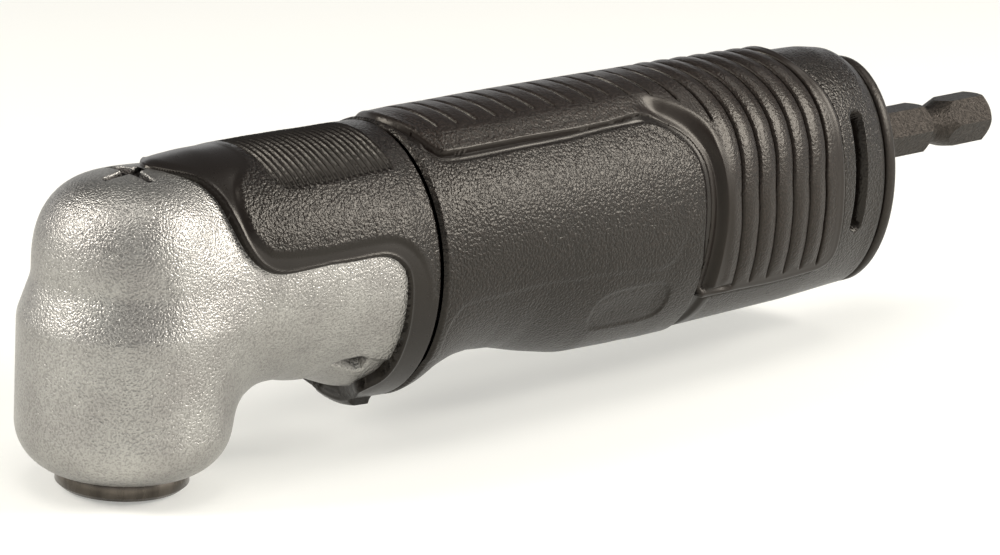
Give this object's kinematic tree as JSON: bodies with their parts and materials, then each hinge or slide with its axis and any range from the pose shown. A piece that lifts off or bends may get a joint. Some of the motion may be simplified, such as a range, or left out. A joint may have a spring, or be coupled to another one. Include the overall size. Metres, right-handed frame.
{
  "type": "right angle drill attachment",
  "caption": "Right angle drive attachment: hex shank in a long oval grip, bevel geared metal head and a magnetic hex bit socket pointing down.",
  "frame": {"origin": "centre of the bit socket's mouth, at the nose's end face", "axes": "+Z along the output axis from the nose up into the head, +X along the input shaft towards the hex shank's tip, +Y across the body; the plane Y=0 is the plane that both axes lie in"},
  "size_m": [0.1654, 0.0302, 0.0408],
  "materials": {
    "cast_head": "rough cast, tumbled to a soft satin",
    "nylon": "fine moulded grain",
    "soft_rubber": "soft matt overmould",
    "shank_steel": "dark phosphate with a speckled grain",
    "bright_steel": "turned and lightly brushed",
    "gear_steel": "hardened, satin",
    "bearing_steel": "ground and polished",
    "bronze": "turned bronze",
    "screw_steel": "black oxide",
    "magnet": "nickel plated magnet",
    "seal_rubber": "black seal"
  },
  "bodies": {
    "housing": {"head_housing": "cast_head", "front_collar": "nylon", "grip_body": "nylon", "grip_overmould": "soft_rubber", "end_cap": "nylon", "body_screws": "screw_steel", "front_outer_race": "bearing_steel", "front_circlip": "screw_steel", "rear_outer_race": "bearing_steel", "rear_circlip": "screw_steel", "needle_cup": "bearing_steel", "thrust_washer": "bronze", "crown_bush": "bronze", "nose_seal": "seal_rubber"},
    "input": {"drive_shaft": "shank_steel", "bevel_pinion": "gear_steel", "pinion_clip": "screw_steel", "front_inner_race": "bearing_steel", "rear_inner_race": "bearing_steel"},
    "output": {"bit_holder": "bright_steel", "bevel_gear": "gear_steel", "gear_clip": "screw_steel", "bit_magnet": "magnet"},
    "front_balls": {"front_ball_set": "bearing_steel", "front_ball_cage": "bronze"},
    "rear_balls": {"rear_ball_set": "bearing_steel", "rear_ball_cage": "bronze"},
    "needles": {"needle_rollers": "bearing_steel"}
  },
  "joints": [
    {"name": "input_spin", "type": "hinge", "parent": "housing", "child": "input", "pos_m": [0.06, 0, 0.0248], "axis": [1, 0, 0], "continuous": true},
    {"name": "output_spin", "type": "hinge", "parent": "housing", "child": "output", "pos_m": [0, 0, 0.0248], "axis": [0, 0, 1], "continuous": true},
    {"name": "front_ball_roll", "type": "hinge", "parent": "housing", "child": "front_balls", "pos_m": [0.015, 0, 0.0248], "axis": [1, 0, 0], "continuous": true},
    {"name": "rear_ball_roll", "type": "hinge", "parent": "housing", "child": "rear_balls", "pos_m": [0.1055, 0, 0.0248], "axis": [1, 0, 0], "continuous": true},
    {"name": "needle_roll", "type": "hinge", "parent": "housing", "child": "needles", "pos_m": [0, 0, 0.007], "axis": [0, 0, 1], "continuous": true}
  ],
  "couplings": [
    {"joint": "output_spin", "follows": "input_spin", "ratio": 1},
    {"joint": "front_ball_roll", "follows": "input_spin", "ratio": 0.3704},
    {"joint": "rear_ball_roll", "follows": "input_spin", "ratio": 0.3958},
    {"joint": "needle_roll", "follows": "input_spin", "ratio": 0.4479}
  ]
}
